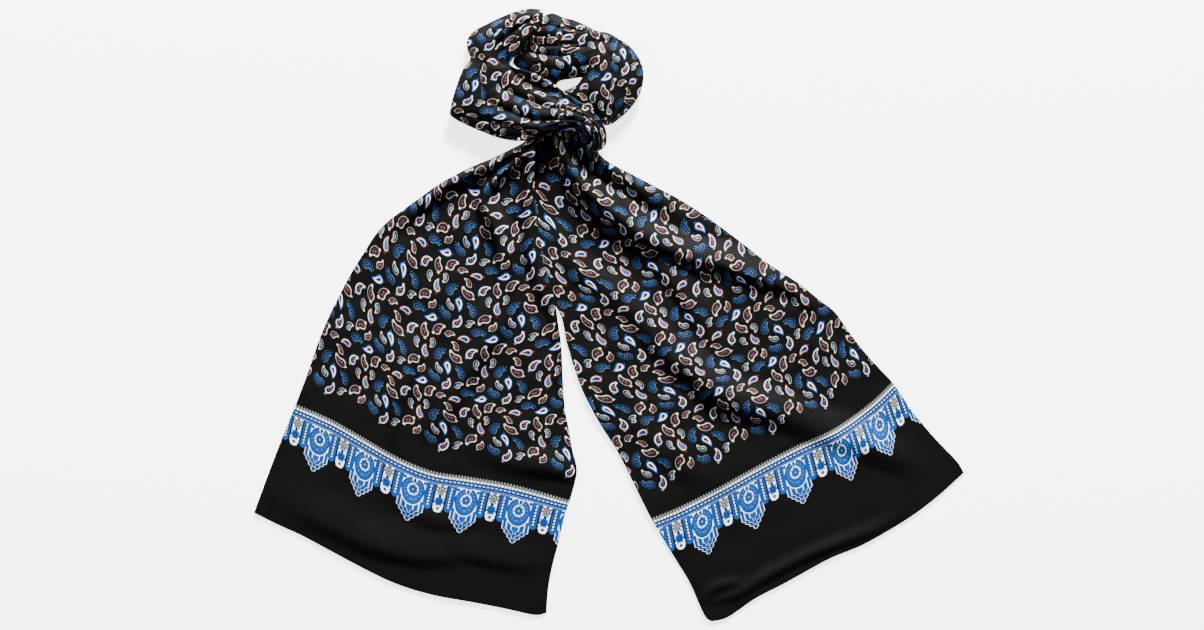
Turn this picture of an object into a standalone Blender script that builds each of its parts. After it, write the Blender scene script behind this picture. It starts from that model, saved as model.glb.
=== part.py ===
# Foulard scarf: a long flat tube of printed silk, folded in half, looped round and knotted,
# lying on its back with both tails spread. Plan sizes are in millimetres from the centre of
# the whole, +Y towards the neck loop, and heights are above the surface it lies on.
import bpy
import bmesh
import math
import numpy as np

MM = 0.001
CLOTH_WALL = 2.4
LAYER_GAP = 0.8
TAIL_ROWS = 42
TAIL_POINTS = 31
BAND_POINTS = 12
BORDER_SHARE = 0.255
ROW_CLOSE_UP = 1.35
EDGE_INSET = 1.0
ROLL_INSET = 2.4
SURE_REACH = 6.5
SOFT_REACH = 14.0

# columns: x, y along each short end, from its outer corner to its inner one
LEFT_HEM = [
    (-327, -181), (-283, -202), (-255, -218), (-221, -237), (-192, -248),
    (-161, -257), (-128, -262), (-97, -270), (-69, -275), (-58, -273),
]
RIGHT_HEM = [
    (94, -281), (109, -277), (134, -260), (159, -247), (179, -236), (203, -223),
    (232, -211), (259, -196), (281, -182), (303, -165), (326, -144),
]
# columns: x, y along the top of the printed border
LEFT_BORDER = [
    (-288, -80), (-255, -93), (-228, -108), (-192, -129), (-161, -142),
    (-128, -145), (-87, -152), (-35, -167),
]
RIGHT_BORDER = [
    (37, -183), (65, -172), (98, -157), (134, -136), (170, -119),
    (206, -103), (237, -81), (259, -62),
]
# columns: x, y along each long edge, from the short end to the knot
LEFT_OUTER_EDGE = [
    (-327, -181), (-313, -143), (-300, -109), (-288, -80), (-279, -56), (-264, -14),
    (-249, 18), (-239, 37), (-228, 55), (-215, 75), (-205, 86), (-192, 96), (-171, 111),
    (-154, 123), (-127, 137), (-105, 146), (-89, 154), (-77, 161), (-73, 170), (-71, 180),
]
LEFT_INNER_EDGE = [
    (-58, -273), (-56, -249), (-52, -228), (-47, -209), (-42, -187), (-36, -168),
    (-31, -150), (-30, -139), (-34, -123), (-37, -106), (-41, -84), (-43, -55),
    (-44, -28), (-47, -7), (-50, 12), (-55, 30), (-60, 52), (-65, 78), (-68, 98),
    (-69, 120), (-68, 145), (-63, 164), (-58, 178),
]
RIGHT_INNER_EDGE = [
    (94, -281), (87, -275), (74, -246), (62, -226), (51, -208), (37, -184), (23, -156),
    (8, -126), (-9, -99), (-21, -77), (-28, -61), (-35, -40), (-40, -22), (-44, -2),
    (-52, 14), (-60, 34), (-68, 56), (-73, 80), (-76, 104), (-76, 126), (-73, 146),
    (-69, 164), (-66, 180),
]
RIGHT_OUTER_EDGE = [
    (326, -144), (319, -133), (299, -112), (279, -88), (261, -62), (248, -48), (232, -30),
    (217, -10), (207, 4), (189, 18), (174, 30), (148, 47), (126, 64), (105, 80), (84, 95),
    (63, 108), (42, 119), (21, 130), (0, 141), (-10, 150), (-14, 164), (-19, 178),
]
# columns: x, y, height, half width of each fold, from the knot outwards
LEFT_FOLDS = [
    [
        (-69, 178, 8, 8), (-74, 154, 9, 9), (-89, 147, 8, 9), (-105, 139, 7, 9),
        (-127, 130, 5.5, 9), (-150, 117, 3.5, 10), (-168, 104, 1.5, 11),
    ],
    [
        (-73, 150, 9, 9), (-92, 134, 9, 10), (-109, 118, 8.5, 11), (-112, 104, 8, 12),
        (-109, 88, 7, 13), (-103, 70, 6, 14), (-100, 40, 4.5, 17), (-106, 10, 3.5, 21),
        (-125, -40, 2, 26), (-150, -95, 0.5, 30),
    ],
    [
        (-62, 176, 8, 8), (-70, 150, 9, 8), (-74, 120, 8, 9), (-73, 96, 6.5, 10),
        (-69, 70, 4.5, 11), (-62, 40, 2.5, 12), (-56, 10, 0.8, 13),
    ],
]
RIGHT_FOLDS = [
    [
        (-43, 180, 12, 17), (-42, 148, 13, 17), (-39, 134, 12, 17), (-31, 119, 11, 17),
        (-20, 109, 10, 17), (-7, 98, 9.5, 17), (10, 88, 8.5, 17), (31, 73, 7.5, 17),
        (54, 60, 6.5, 18), (73, 52, 5.5, 19), (97, 46, 4.5, 20), (120, 38, 3.8, 21),
        (147, 31, 3, 22), (172, 22, 2, 22), (193, 8, 0.8, 22),
    ],
    [
        (-24, 176, 10, 12), (-18, 158, 11, 12), (-10, 144, 10, 12), (2, 134, 8.5, 13),
        (22, 121, 6.5, 14), (44, 107, 4.5, 15), (68, 92, 2.5, 16), (95, 75, 0.8, 16),
    ],
    [
        (-50, 88, 3, 12), (-38, 62, 5, 14), (-20, 36, 5.5, 15), (-1, 20, 5.5, 16),
        (21, 9, 5, 17), (35, -6, 4.5, 18), (50, -24, 4, 19), (60, -41, 3.6, 20),
        (74, -54, 3.2, 21), (92, -67, 2.6, 22), (112, -82, 1.8, 22), (140, -92, 0.6, 22),
    ],
]
# columns: inner x, inner y, outer x, outer y, crest height of each section of the loop
NECK_FRONT = [
    (-62, 271, -59, 280.5, 15), (-66, 264, -73, 282, 17), (-72, 256, -87, 279, 18),
    (-79, 247, -101, 273.5, 19), (-84, 241, -114, 267, 19), (-87, 237, -125, 261, 19),
    (-89, 233.5, -131, 252, 19), (-88.5, 230, -130, 243, 19), (-86, 227.5, -128, 235, 19),
    (-83, 226.5, -134, 227, 20), (-80, 225.5, -139, 215, 20), (-77, 225, -143, 203, 20),
    (-74, 224, -146, 190, 20), (-70.5, 222.5, -142, 181, 20), (-66.5, 220.5, -131, 175, 20),
    (-61.5, 218, -117, 169, 21), (-55.5, 215, -104, 164, 22.5), (-49, 210.5, -92, 161, 24),
    (-43.5, 206.5, -81, 159.5, 26), (-37.5, 202.5, -72, 161, 28), (-31.5, 198.5, -63, 164, 29.5),
    (-25.5, 194.5, -53, 167.5, 30.5), (-19.5, 190, -43, 169.5, 31), (-13.5, 185, -34, 169.5, 31),
    (-8, 179, -28, 167.5, 30), (-4, 172, -24, 163.5, 28.5), (-2.5, 165, -21.5, 158.5, 26),
    (-3, 158, -19.5, 153.5, 23), (-6, 151.5, -16.5, 149, 20),
]
NECK_RIGHT = [
    (-91, 234, -74, 258, 10), (-86, 229, -66, 256, 13), (-80, 223, -57, 255.5, 16),
    (-71, 218, -48, 256, 18), (-61, 213, -38, 258, 19), (-52, 209, -30, 259.5, 20),
    (-46, 215.5, -23, 260, 20), (-36, 217.5, -10, 259.5, 20), (-26.5, 219, 1, 256, 20),
    (-25, 215.5, 11, 252.5, 20), (-27.5, 211.5, 19, 247, 20), (-33, 208, 25.5, 239, 20),
    (-42, 206, 30, 230, 20), (-43, 200, 31.5, 219, 20), (-39, 194, 29, 207, 19),
    (-33, 189, 24.5, 197.5, 18), (-26, 184.5, 16, 187, 16), (-18, 180, 7, 179.5, 14),
    (-11, 175.5, 0, 174, 11),
]
NECK_BACK = [
    (-76, 252, -70, 269, 8), (-68, 250, -62, 275, 10), (-59, 249, -52, 278, 12),
    (-50, 249.5, -42, 274, 13), (-40, 251, -32, 271.5, 13), (-30, 252.5, -22, 267, 13),
    (-21, 253, -12, 262, 12), (-11, 252.5, -3, 260.5, 11), (-2, 249, 4, 257.5, 9),
    (6, 245.5, 10, 253.5, 7),
]
# columns: place across, depth, half width of the grooves that run along each stretch
FRONT_GROOVES = [(0.34, 1.8, 0.10), (0.60, 2.4, 0.11)]
RIGHT_GROOVES = [(0.30, 2.4, 0.10), (0.56, 2.0, 0.09), (0.78, 1.6, 0.08)]
BACK_GROOVES = [(0.62, 1.6, 0.14)]
# columns: share of the height down from the top, distance in from the outline
SOFT_RIM = [(0.5, 0.0)]
LAYERED_RIM = [(0.16, 0.9), (0.36, 0.2), (0.50, 1.5), (0.66, 0.1), (0.88, 0.8)]

# columns: red, green, blue
SILK_BLACK = (0.012, 0.011, 0.012)


def along(points, share):
    """Point of a polyline at a share of its length, as a complex number."""
    line = np.array([complex(point[0], point[1]) for point in points])
    steps = np.abs(np.diff(line))
    runs = np.concatenate([[0.0], np.cumsum(steps)])
    place = share * runs[-1]
    real = np.interp(place, runs, line.real)
    imag = np.interp(place, runs, line.imag)
    return complex(real, imag)


def bow(points, share):
    """Point of a row in the frame of its own chord, where the chord runs from 0 to 1."""
    first = along(points, 0.0)
    last = along(points, 1.0)
    return (along(points, share) - first) / (last - first)


def fold_height(place, folds):
    """Height of the folds over the flat cloth at one plan point."""
    total = 0.0
    for fold in folds:
        best = 0.0
        for first, last in zip(fold[:-1], fold[1:]):
            start = complex(first[0], first[1])
            reach = complex(last[0], last[1]) - start
            share = ((place - start) * reach.conjugate()).real / abs(reach) ** 2
            share = min(1.0, max(0.0, share))
            distance = abs(place - start - reach * share)
            height = first[2] + (last[2] - first[2]) * share
            width = first[3] + (last[3] - first[3]) * share
            if distance < width:
                best = max(best, height * (0.5 + 0.5 * math.cos(math.pi * distance / width)))
        total += best ** 3
    return total ** (1.0 / 3.0)


def clearance(place, lower):
    """Height that a stretch has to pass at one plan point, over the stretches below it."""
    if lower is None:
        return 0.0
    distance = np.abs(lower[0] - place)
    share = np.clip((SOFT_REACH - distance) / (SOFT_REACH - SURE_REACH), 0.0, 1.0)
    share = share * share * (3.0 - 2.0 * share)
    height = float(np.max(lower[1] * share))
    if height < 0.05:
        return 0.0
    return height + LAYER_GAP


def ring(row, tops, unders, rim, inset):
    """Closed section from a row of plan points with a top and an underside height at each."""
    inward_first = (row[1] - row[0]) / abs(row[1] - row[0])
    inward_last = (row[-2] - row[-1]) / abs(row[-2] - row[-1])
    scale = min(1.0, abs(row[-1] - row[0]) / 22.0)
    plan = list(row)
    plan[0] = row[0] + inward_first * inset * scale
    plan[-1] = row[-1] + inward_last * inset * scale
    top = [(point.real, point.imag, height) for point, height in zip(plan, tops)]
    under = [(point.real, point.imag, height) for point, height in zip(plan, unders)]
    last_side = []
    first_side = []
    for drop, depth in rim:
        edge = row[-1] + inward_last * depth * scale
        height = unders[-1] + (tops[-1] - unders[-1]) * (1.0 - drop)
        last_side.append((edge.real, edge.imag, height))
        edge = row[0] + inward_first * depth * scale
        height = unders[0] + (tops[0] - unders[0]) * (1.0 - drop)
        first_side.append((edge.real, edge.imag, height))
    return top + last_side + under[::-1] + first_side[::-1]


def loft(name, rings, count, rim, material, middle):
    """One closed solid through rings that share their number of points."""
    mesh = bpy.data.meshes.new(name)
    body = bmesh.new()
    verts = []
    for points in rings:
        shifted = [(x - middle[0], y - middle[1], z) for x, y, z in points]
        verts.append([body.verts.new((x * MM, y * MM, z * MM)) for x, y, z in shifted])
    size = len(rings[0])
    for near, far in zip(verts[:-1], verts[1:]):
        for index in range(size):
            after = (index + 1) % size
            body.faces.new((near[index], near[after], far[after], far[index]))
    side = len(rim)
    for end in (verts[0], verts[-1]):
        top = end[:count]
        last_side = end[count:count + side]
        under = end[count + side:2 * count + side][::-1]
        first_side = end[2 * count + side:][::-1]
        for index in range(count - 1):
            body.faces.new((top[index], top[index + 1], under[index + 1], under[index]))
        body.faces.new([top[-1]] + last_side + [under[-1]])
        body.faces.new([top[0]] + first_side + [under[0]])
    bmesh.ops.recalc_face_normals(body, faces=body.faces)
    bmesh.ops.triangulate(body, faces=body.faces, quad_method="SHORT_EDGE")
    for face in body.faces:
        face.smooth = True
    body.to_mesh(mesh)
    body.free()
    item = bpy.data.objects.new(name, mesh)
    bpy.context.scene.collection.objects.link(item)
    mesh.materials.append(material)
    return item


def silk(name):
    material = bpy.data.materials.new(name)
    material.use_nodes = True
    shader = material.node_tree.nodes["Principled BSDF"]
    shader.inputs["Base Color"].default_value = (*SILK_BLACK, 1.0)
    shader.inputs["Roughness"].default_value = 0.45
    return material


def tops_of(rings, count):
    """Plan points and heights of the upper side of a stretch."""
    points = [point for points in rings for point in points[:count]]
    plan = np.array([complex(x, y) for x, y, z in points])
    heights = np.array([z for x, y, z in points])
    return plan, heights


def joined(first, second):
    if first is None:
        return second
    return np.concatenate([first[0], second[0]]), np.concatenate([first[1], second[1]])


def tail(hem, border, first_edge, last_edge, folds, lower):
    rings = []
    for row_index in range(TAIL_ROWS):
        share = 1.0 - (1.0 - row_index / (TAIL_ROWS - 1)) ** ROW_CLOSE_UP
        start = along(first_edge, share)
        reach = along(last_edge, share) - start
        near = min(1.0, share / BORDER_SHARE)
        fade = min(1.0, max(0.0, (0.82 - share) / (0.82 - BORDER_SHARE)))
        row = []
        for index in range(TAIL_POINTS):
            across = index / (TAIL_POINTS - 1)
            shape = bow(hem, across) * (1.0 - near) + bow(border, across) * near
            shape = across + (shape - across) * fade
            row.append(start + reach * shape)
        solid = CLOTH_WALL + 30.0 * min(1.0, max(0.0, (share - 0.80) / 0.15))
        tops = []
        unders = []
        for place in row:
            ground = clearance(place, lower)
            top = max(CLOTH_WALL + fold_height(place, folds), ground + CLOTH_WALL)
            tops.append(top)
            unders.append(max(ground, top - solid, 0.0))
        rings.append(ring(row, tops, unders, SOFT_RIM, EDGE_INSET))
    return rings


def band(table, grooves, lower):
    rings = []
    for index, (inner_x, inner_y, outer_x, outer_y, crest) in enumerate(table):
        inner = complex(inner_x, inner_y)
        outer = complex(outer_x, outer_y)
        swell = math.sin(math.pi * index / (len(table) - 1)) ** 0.5
        row = []
        tops = []
        unders = []
        for point in range(BAND_POINTS):
            angle = math.pi * point / (BAND_POINTS - 1)
            across = 0.25 * (1.0 - math.cos(angle)) + 0.5 * point / (BAND_POINTS - 1)
            place = inner + (outer - inner) * across
            ground = clearance(place, lower)
            height = crest * (1.0 - 0.34 * abs(2.0 * across - 1.0) ** 2.6)
            for middle, depth, width in grooves:
                offset = min(1.0, abs(across - middle) / width)
                height -= depth * swell * (0.5 + 0.5 * math.cos(math.pi * offset))
            row.append(place)
            tops.append(max(height, ground + 2.5 * CLOTH_WALL))
            unders.append(ground)
        rings.append(ring(row, tops, unders, LAYERED_RIM, ROLL_INSET))
    return rings


for item in list(bpy.data.objects):
    bpy.data.objects.remove(item, do_unlink=True)

right_tail = tail(RIGHT_HEM, RIGHT_BORDER, RIGHT_INNER_EDGE, RIGHT_OUTER_EDGE, RIGHT_FOLDS, None)
stack = tops_of(right_tail, TAIL_POINTS)
left_tail = tail(LEFT_HEM, LEFT_BORDER, LEFT_OUTER_EDGE, LEFT_INNER_EDGE, LEFT_FOLDS, stack)
stack = joined(stack, tops_of(left_tail, TAIL_POINTS))
back_band = band(NECK_BACK, BACK_GROOVES, None)
stack = joined(stack, tops_of(back_band, BAND_POINTS))
right_band = band(NECK_RIGHT, RIGHT_GROOVES, stack)
stack = joined(stack, tops_of(right_band, BAND_POINTS))
front_band = band(NECK_FRONT, FRONT_GROOVES, stack)

stretches = {
    "tail_right": (right_tail, TAIL_POINTS, SOFT_RIM),
    "tail_left": (left_tail, TAIL_POINTS, SOFT_RIM),
    "neck_back": (back_band, BAND_POINTS, LAYERED_RIM),
    "neck_right": (right_band, BAND_POINTS, LAYERED_RIM),
    "neck_front": (front_band, BAND_POINTS, LAYERED_RIM),
}
everything = [point for rings, count, rim in stretches.values() for points in rings for point in points]
across = [point[0] for point in everything]
lengthwise = [point[1] for point in everything]
middle = (0.5 * (min(across) + max(across)), 0.5 * (min(lengthwise) + max(lengthwise)))
for name, (rings, count, rim) in stretches.items():
    loft(name, rings, count, rim, silk("silk_" + name), middle)
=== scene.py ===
import bpy
import bmesh
import math
import numpy as np
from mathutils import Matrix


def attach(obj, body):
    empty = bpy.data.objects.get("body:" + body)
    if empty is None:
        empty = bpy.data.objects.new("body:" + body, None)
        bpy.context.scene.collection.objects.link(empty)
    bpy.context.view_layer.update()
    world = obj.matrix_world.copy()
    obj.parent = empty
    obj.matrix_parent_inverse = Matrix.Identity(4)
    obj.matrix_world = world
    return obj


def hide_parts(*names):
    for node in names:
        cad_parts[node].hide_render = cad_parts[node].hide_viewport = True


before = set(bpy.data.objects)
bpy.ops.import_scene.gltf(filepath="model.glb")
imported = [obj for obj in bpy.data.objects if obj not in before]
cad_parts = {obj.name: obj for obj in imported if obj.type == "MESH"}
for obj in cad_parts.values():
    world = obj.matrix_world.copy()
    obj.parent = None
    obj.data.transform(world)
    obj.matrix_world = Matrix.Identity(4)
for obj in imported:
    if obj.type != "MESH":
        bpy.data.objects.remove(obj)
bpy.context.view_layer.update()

MM = 0.001
# The photo: its width in pixels, and mm for each pixel
PHOTO_WIDTH = 1204
PIXEL = 0.92
# Middle of the scarf's box in the tables below, whose x runs to the right and y up the photo
MIDDLE = complex(-0.5, 0.46)
# The doubled cloth and how it passes over cloth below it: full height within SURE_REACH
WALL = 1.4
LAYER_GAP = 0.8
SURE_REACH = 6.5
SOFT_REACH = 14.0
# Rows and columns of cloth start this far in from the edges
SELVEDGE = 0.9
# Swell of smoothed cloth: height and wave size of the broad and the narrow one, and its lift
BROAD_SWELL = (0.80, 27.0)
NARROW_SWELL = (0.22, 11.0)
SWELL_LIFT = 1.4
# The printed cloth, in mm up from the short end
SCARF_WIDTH = 280.0
BORDER_TOP = 108.0
PRINT_START = 124.0
REPEAT = (60.4, 62.6)
PITCH = 50.0
# Over this run from the short end, the print goes from the border's marks to true widths
LEVEL_START = 128.0
LEVEL_RUN = 110.0
# The loop's stretches: rounding of their ends, share that the sides fall, least height over what
# is below, width of the rim, width from which the rim is full, and points round rim and underside
END_ROUND = 3.5
SIDE_FALL = 0.34
LEAST_HEAP = 5.0
EDGE = 2.6
FULL_WIDTH = 22.0
RIM_POINTS = 20
UNDER_POINTS = 14
# Scale of the print on them, and a place outside the border
BAND_PRINT = 1.1
NO_BORDER = 1000j
# Points closer than this are welded, in metres
WELD = 2e-6

# The two short ends and the top of the border, from the outer corner to the inner one: x, y
LEFT_HEM = [
    (-327, -181), (-305, -192), (-283, -202), (-255, -217), (-221, -235), (-192, -248),
    (-161, -257), (-128, -263), (-97, -269), (-69, -275), (-58, -273),
]
RIGHT_HEM = [
    (94, -281), (109, -277), (134, -260), (159, -247), (179, -236), (203, -223),
    (232, -211), (259, -196), (281, -182), (303, -165), (326, -144),
]
LEFT_BORDER = [
    (-288, -80), (-255, -94), (-228, -109), (-192, -129), (-161, -141),
    (-128, -146), (-87, -153), (-35, -167),
]
RIGHT_BORDER = [
    (37, -183), (65, -172), (98, -156), (134, -137), (170, -119),
    (206, -103), (237, -82), (259, -62),
]
# The long edges from the short end to the knot: x, y
LEFT_OUTER_EDGE = [
    (-327, -181), (-313, -143), (-300, -109), (-288, -80), (-279, -56), (-264, -14),
    (-249, 18), (-239, 37), (-228, 55), (-215, 75), (-205, 86), (-192, 96), (-171, 111),
    (-154, 123), (-127, 137), (-105, 146), (-89, 154), (-77, 161), (-73, 170), (-71, 180),
]
LEFT_INNER_EDGE = [
    (-58, -273), (-56, -249), (-52, -228), (-47, -209), (-42, -187), (-36, -168),
    (-31, -150), (-30, -139), (-34, -123), (-37, -106), (-41, -84), (-43, -55),
    (-44, -28), (-47, -7), (-50, 12), (-55, 30), (-60, 52), (-65, 78), (-68, 98),
    (-69, 120), (-68, 145), (-63, 164), (-58, 178),
]
RIGHT_INNER_EDGE = [
    (94, -281), (87, -275), (74, -246), (62, -226), (51, -208), (37, -184), (23, -156),
    (8, -126), (-9, -99), (-21, -77), (-28, -61), (-35, -40), (-40, -22), (-44, -2),
    (-52, 14), (-60, 34), (-68, 56), (-73, 80), (-76, 104), (-76, 126), (-73, 146),
    (-69, 164), (-66, 180),
]
RIGHT_OUTER_EDGE = [
    (326, -144), (319, -133), (299, -112), (279, -88), (261, -62), (248, -48), (232, -30),
    (217, -10), (207, 4), (189, 18), (174, 30), (148, 47), (126, 64), (105, 80), (84, 95),
    (63, 108), (42, 119), (21, 130), (0, 141), (-10, 150), (-14, 164), (-19, 178),
]
# Folds, a table each: x, y, height, reach to the left of its run, reach to the right
LEFT_FOLDS = [
    [
        (-69, 178, 8, 8, 8), (-74, 156, 10, 9, 9), (-89, 149, 11, 10, 9), (-105, 140, 11, 11, 9),
        (-127, 131, 9.5, 11, 10), (-150, 119, 7.5, 12, 10), (-172, 103, 5, 12, 10),
        (-196, 84, 1.5, 12, 10), (-212, 66, 0.3, 12, 10),
    ],
    [
        (-73, 150, 9, 9, 8), (-93, 136, 9, 9, 9), (-109, 121, 10, 9, 9), (-116, 106, 10, 12, 9),
        (-111, 92, 9.5, 15, 10), (-102, 72, 8.5, 20, 10), (-98, 46, 7, 22, 11),
        (-101, 23, 5.6, 24, 14), (-108, 3, 4.6, 22, 18), (-119, -14, 3.4, 20, 22),
        (-140, -50, 0.8, 26, 26),
    ],
    [
        (-62, 176, 8, 8, 8), (-70, 150, 9, 8, 8), (-74, 120, 8, 9, 9), (-74, 96, 6.5, 9, 12),
        (-71, 70, 4.5, 9, 13), (-66, 40, 2.5, 10, 15), (-60, 10, 1.2, 12, 18),
        (-56, -20, 0.3, 12, 18),
    ],
    [
        (-84, 16, 0.5, 14, 24), (-100, -8, 4.4, 15, 24), (-117, -32, 5.4, 16, 26),
        (-132, -56, 4.6, 17, 28), (-150, -84, 2.6, 18, 30), (-166, -108, 0.6, 20, 30),
    ],
    [
        (-170, -14, 0.6, 14, 26), (-182, -44, 3.6, 14, 28), (-193, -76, 4.0, 14, 30),
        (-205, -112, 1.6, 16, 30), (-214, -136, 0.3, 20, 30),
    ],
    [
        (-120, -128, 0.4, 20, 14), (-88, -136, 2.2, 22, 14), (-60, -140, 3.0, 24, 12),
        (-34, -146, 2.6, 24, 10),
    ],
    [
        (-300, -172, 0.6, 30, 16), (-262, -190, 2.4, 34, 15), (-226, -208, 3.4, 34, 14),
        (-194, -218, 3.4, 34, 13), (-164, -222, 2.4, 34, 13), (-136, -222, 0.8, 30, 12),
    ],
    [
        (-150, -214, 0.5, 24, 12), (-124, -221, 2.0, 26, 11), (-98, -226, 1.8, 26, 11),
        (-72, -230, 0.4, 24, 11),
    ],
    [
        (-212, -150, 0.3, 16, 14), (-184, -176, 1.4, 16, 14), (-156, -190, 1.5, 16, 14),
        (-122, -188, 0.4, 16, 14),
    ],
]
RIGHT_FOLDS = [
    [
        (-43, 180, 12, 15, 13), (-40, 148, 14, 16, 14), (-34, 134, 15, 17, 14),
        (-26, 120, 15.5, 19, 15), (-15, 109, 15.5, 21, 16), (-3, 99, 15, 23, 17),
        (12, 87, 13.5, 25, 17), (31, 73, 12, 26, 16), (54, 61, 10, 27, 14), (73, 54, 9, 28, 12),
        (97, 48, 8.5, 28, 11), (120, 40, 8, 26, 10), (147, 31, 6.5, 24, 9), (172, 20, 4, 20, 10),
        (193, 6, 1.6, 20, 16), (206, -8, 0.4, 18, 16),
    ],
    [
        (-24, 176, 10, 12, 10), (-18, 158, 11, 12, 10), (-10, 144, 10, 12, 10),
        (2, 134, 8.5, 13, 12), (22, 121, 6.5, 14, 14), (44, 107, 4.5, 15, 16),
        (68, 92, 2.5, 16, 18), (95, 75, 0.8, 16, 18),
    ],
    [
        (30, 66, 0.5, 18, 14), (44, 48, 3.5, 22, 12), (60, 28, 4.8, 26, 12),
        (74, 8, 4.4, 30, 12), (88, -12, 2.8, 34, 14), (104, -30, 0.6, 34, 18),
    ],
    [
        (-50, 80, 0.5, 10, 12), (-38, 58, 2.2, 16, 14), (-22, 38, 3.2, 20, 17),
        (-2, 24, 3.8, 22, 18), (13, 12, 4.2, 22, 18), (32, -5, 4.6, 22, 17), (41, -22, 5.2, 26, 17),
        (58, -38, 6.2, 28, 18), (75, -51, 7.6, 30, 20), (91, -65, 8.6, 32, 20),
        (111, -78, 8.8, 30, 21), (132, -84, 7.2, 30, 19), (153, -90, 5.4, 30, 18),
        (175, -98, 4, 30, 19), (200, -108, 3.8, 30, 18), (228, -117, 4.2, 28, 19),
        (256, -128, 3, 26, 19), (280, -140, 0.8, 22, 16),
    ],
    [
        (96, -262, 0.6, 10, 5), (118, -256, 1.8, 11, 6), (150, -237, 2.4, 12, 6),
        (180, -222, 2.3, 12, 6), (206, -211, 2.2, 12, 6), (240, -198, 1.6, 12, 7),
        (268, -182, 0.4, 12, 7),
    ],
    [
        (84, -262, 0.5, 8, 8), (97, -250, 1.8, 9, 9), (112, -246, 1.6, 9, 9),
        (126, -246, 0.3, 8, 8),
    ],
    [
        (24, -96, 0.3, 20, 18), (44, -118, 1.6, 22, 18), (70, -140, 1.5, 24, 18),
        (96, -154, 0.3, 24, 18),
    ],
]
# How far each row of cloth bows towards the short end: share of the length, share of the chord
LEFT_BOW = [(0.23, 0.065), (0.40, 0.09), (0.60, 0.12), (0.80, 0.15), (1.0, 0.15)]
RIGHT_BOW = [(0.22, 0.025), (0.40, 0.06), (0.60, 0.12), (0.80, 0.18), (1.0, 0.18)]
# The cloth's width under each share of the border's run: share, mm from the first long edge
LEFT_SPREAD = [
    (0.0, 0.0), (0.0226, 6.5), (0.1973, 56.5), (0.3747, 106.5), (0.568, 156.5),
    (0.749, 206.5), (0.936, 256.5), (1.0, 274.5),
]
RIGHT_SPREAD = [
    (0.0, 0.0), (0.088, 23.5), (0.276, 73.5), (0.4616, 123.5), (0.653, 173.5),
    (0.817, 223.5), (0.979, 273.5), (1.0, 280.0),
]
# Sections of the loop: inner x, inner y, outer x, outer y, crest height
NECK_FRONT = [
    (-62, 271, -59, 280.5, 15), (-66, 264, -73, 282, 17), (-72, 256, -87, 279, 18),
    (-79, 247, -101, 273.5, 19), (-84, 241, -114, 267, 19), (-87, 237, -125, 261, 19),
    (-89, 233.5, -131, 252, 19), (-88.5, 230, -130, 243, 19), (-86, 227.5, -128, 235, 19),
    (-83, 226.5, -134, 227, 20), (-80, 225.5, -139, 215, 20), (-77, 225, -143, 203, 20),
    (-74, 224, -146, 190, 20), (-70.5, 222.5, -145, 183, 20), (-66.5, 220.5, -131, 175, 20),
    (-61.5, 218, -117, 169, 21), (-55.5, 215, -104, 164, 22.5), (-49, 210.5, -92, 161, 24),
    (-43.5, 206.5, -81, 159.5, 26), (-37.5, 202.5, -72, 161, 28), (-31.5, 198.5, -63, 164, 29.5),
    (-25.5, 194.5, -53, 167.5, 30.5), (-19.5, 190, -43, 169.5, 31), (-13.5, 185, -34, 169.5, 31),
    (-8, 179, -28, 167.5, 30), (-4, 172, -24, 163.5, 28.5), (-2.5, 165, -21.5, 158.5, 26),
    (-3, 158, -19.5, 153.5, 23), (-6, 151.5, -16.5, 149, 20),
]
NECK_RIGHT = [
    (-91, 234, -74, 258, 10), (-86, 229, -66, 256, 13), (-80, 223, -57, 255.5, 16),
    (-71, 218, -48, 256, 18), (-61, 213, -38, 258, 19), (-52, 209, -30, 259.5, 20),
    (-46, 215.5, -23, 260, 20), (-36, 217.5, -10, 259.5, 20), (-26, 219, 1, 256, 20),
    (-26, 217, 11, 252.5, 20), (-29, 213, 19, 247, 20), (-34, 208.8, 25.5, 239, 20),
    (-42, 206, 30, 230, 20), (-43, 200, 31.5, 219, 20), (-39, 194, 29, 207, 19),
    (-33, 189, 24.5, 197.5, 18), (-26, 184.5, 16, 187, 16), (-18, 180, 7, 179.5, 14),
    (-11, 175.5, 0, 174, 11),
]
NECK_BACK = [
    (-76, 252, -70, 269, 8), (-68, 250, -62, 275, 10), (-59, 249, -52, 278, 12),
    (-50, 249.5, -42, 274, 13), (-40, 251, -32, 271.5, 13), (-30, 252.5, -22, 267, 13),
    (-21, 253, -12, 262, 12), (-11, 252.5, -3, 260.5, 11), (-2, 249, 4, 257.5, 9),
    (6, 245.5, 10, 253.5, 7),
]
# Furrows along a stretch: start and end share along it, place across at each, depth, half width
FRONT_FURROWS = [
    (0.00, 0.32, 0.46, 0.40, 2.2, 0.11), (0.04, 0.27, 0.76, 0.68, 1.6, 0.07),
    (0.12, 0.34, 0.20, 0.26, 1.2, 0.06), (0.28, 0.48, 0.74, 0.56, 1.6, 0.09),
    (0.36, 0.80, 0.40, 0.30, 2.8, 0.10), (0.44, 1.00, 0.64, 0.54, 3.2, 0.09),
    (0.47, 0.74, 0.88, 0.80, 1.8, 0.06), (0.55, 0.82, 0.16, 0.14, 1.6, 0.05),
    (0.70, 1.02, 0.26, 0.30, 3.0, 0.09), (0.76, 1.02, 0.80, 0.76, 2.8, 0.08),
    (0.80, 1.02, 0.44, 0.42, 1.6, 0.05),
]
RIGHT_FURROWS = [
    (-0.04, 0.36, 0.50, 0.58, 2.4, 0.10), (0.00, 0.40, 0.82, 0.84, 1.6, 0.06),
    (0.34, 0.70, 0.22, 0.30, 1.0, 0.13), (0.52, 0.98, 0.70, 0.54, 1.8, 0.10),
    (0.62, 1.02, 0.88, 0.80, 1.4, 0.07), (0.66, 1.02, 0.30, 0.28, 1.8, 0.10),
    (0.24, 0.50, 0.60, 0.76, 1.0, 0.08),
]
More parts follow.
